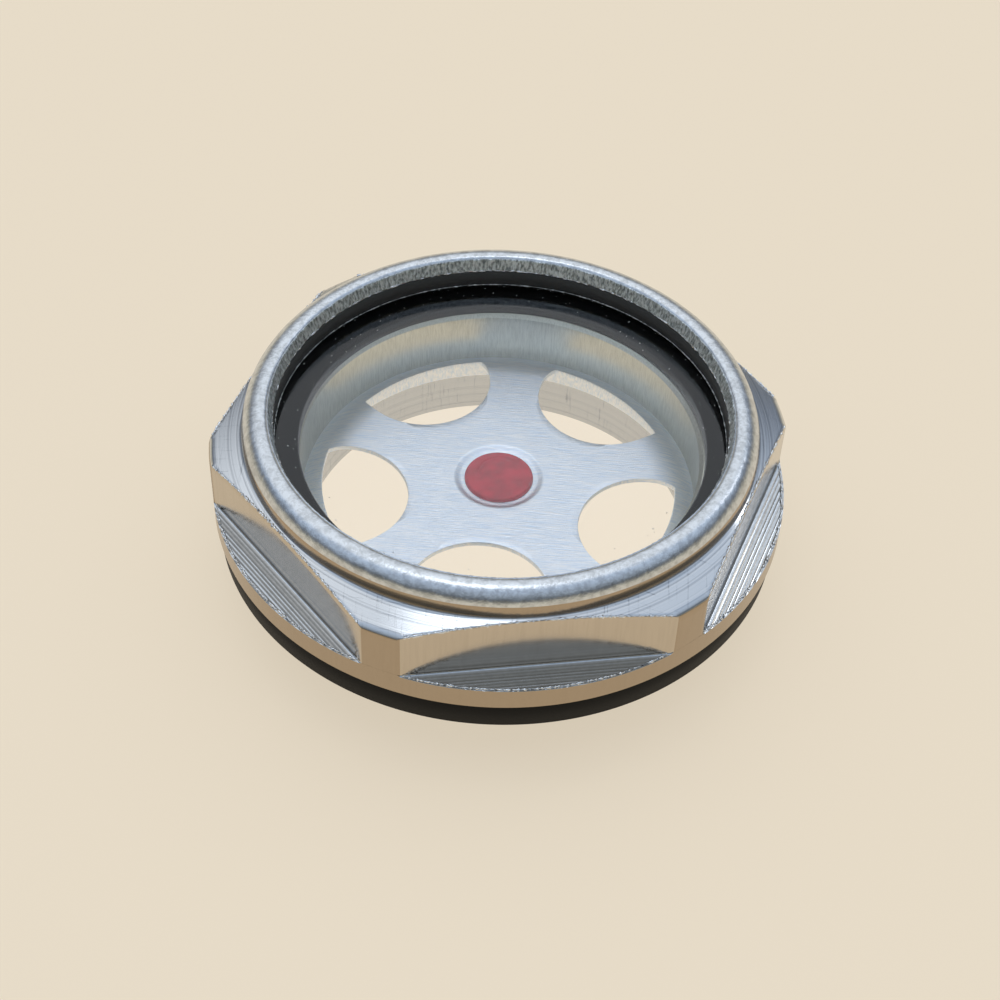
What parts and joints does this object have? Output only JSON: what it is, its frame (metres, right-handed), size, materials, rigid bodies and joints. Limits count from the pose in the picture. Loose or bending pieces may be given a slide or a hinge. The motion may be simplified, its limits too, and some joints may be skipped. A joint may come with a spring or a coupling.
{
  "type": "tank level gauge",
  "caption": "Screw-in round sight glass with hexagon flange, rolled-in window, perforated reflector and red marker, for reading a tank's oil level.",
  "frame": {"origin": "on the thread's axis, at the sealing plane under the gasket", "axes": "+Z out of the tank towards the viewer, along the thread's axis; the thread points to -Z; one hexagon flat faces -Y"},
  "size_m": [0.06, 0.06, 0.0211],
  "materials": {
    "machined_aluminium": "turned and milled, bright",
    "clear_glass": "clear, polished",
    "nitrile_rubber": "moulded, matt",
    "brushed_sheet": "brushed sheet, pressed",
    "red_enamel": "glossy enamel drop"
  },
  "bodies": {
    "root": {"body": "machined_aluminium", "upper_seal": "nitrile_rubber", "window_glass": "clear_glass", "lower_seal": "nitrile_rubber", "reflector": "brushed_sheet", "red_dot": "red_enamel", "flange_gasket": "nitrile_rubber"}
  },
  "joints": []
}
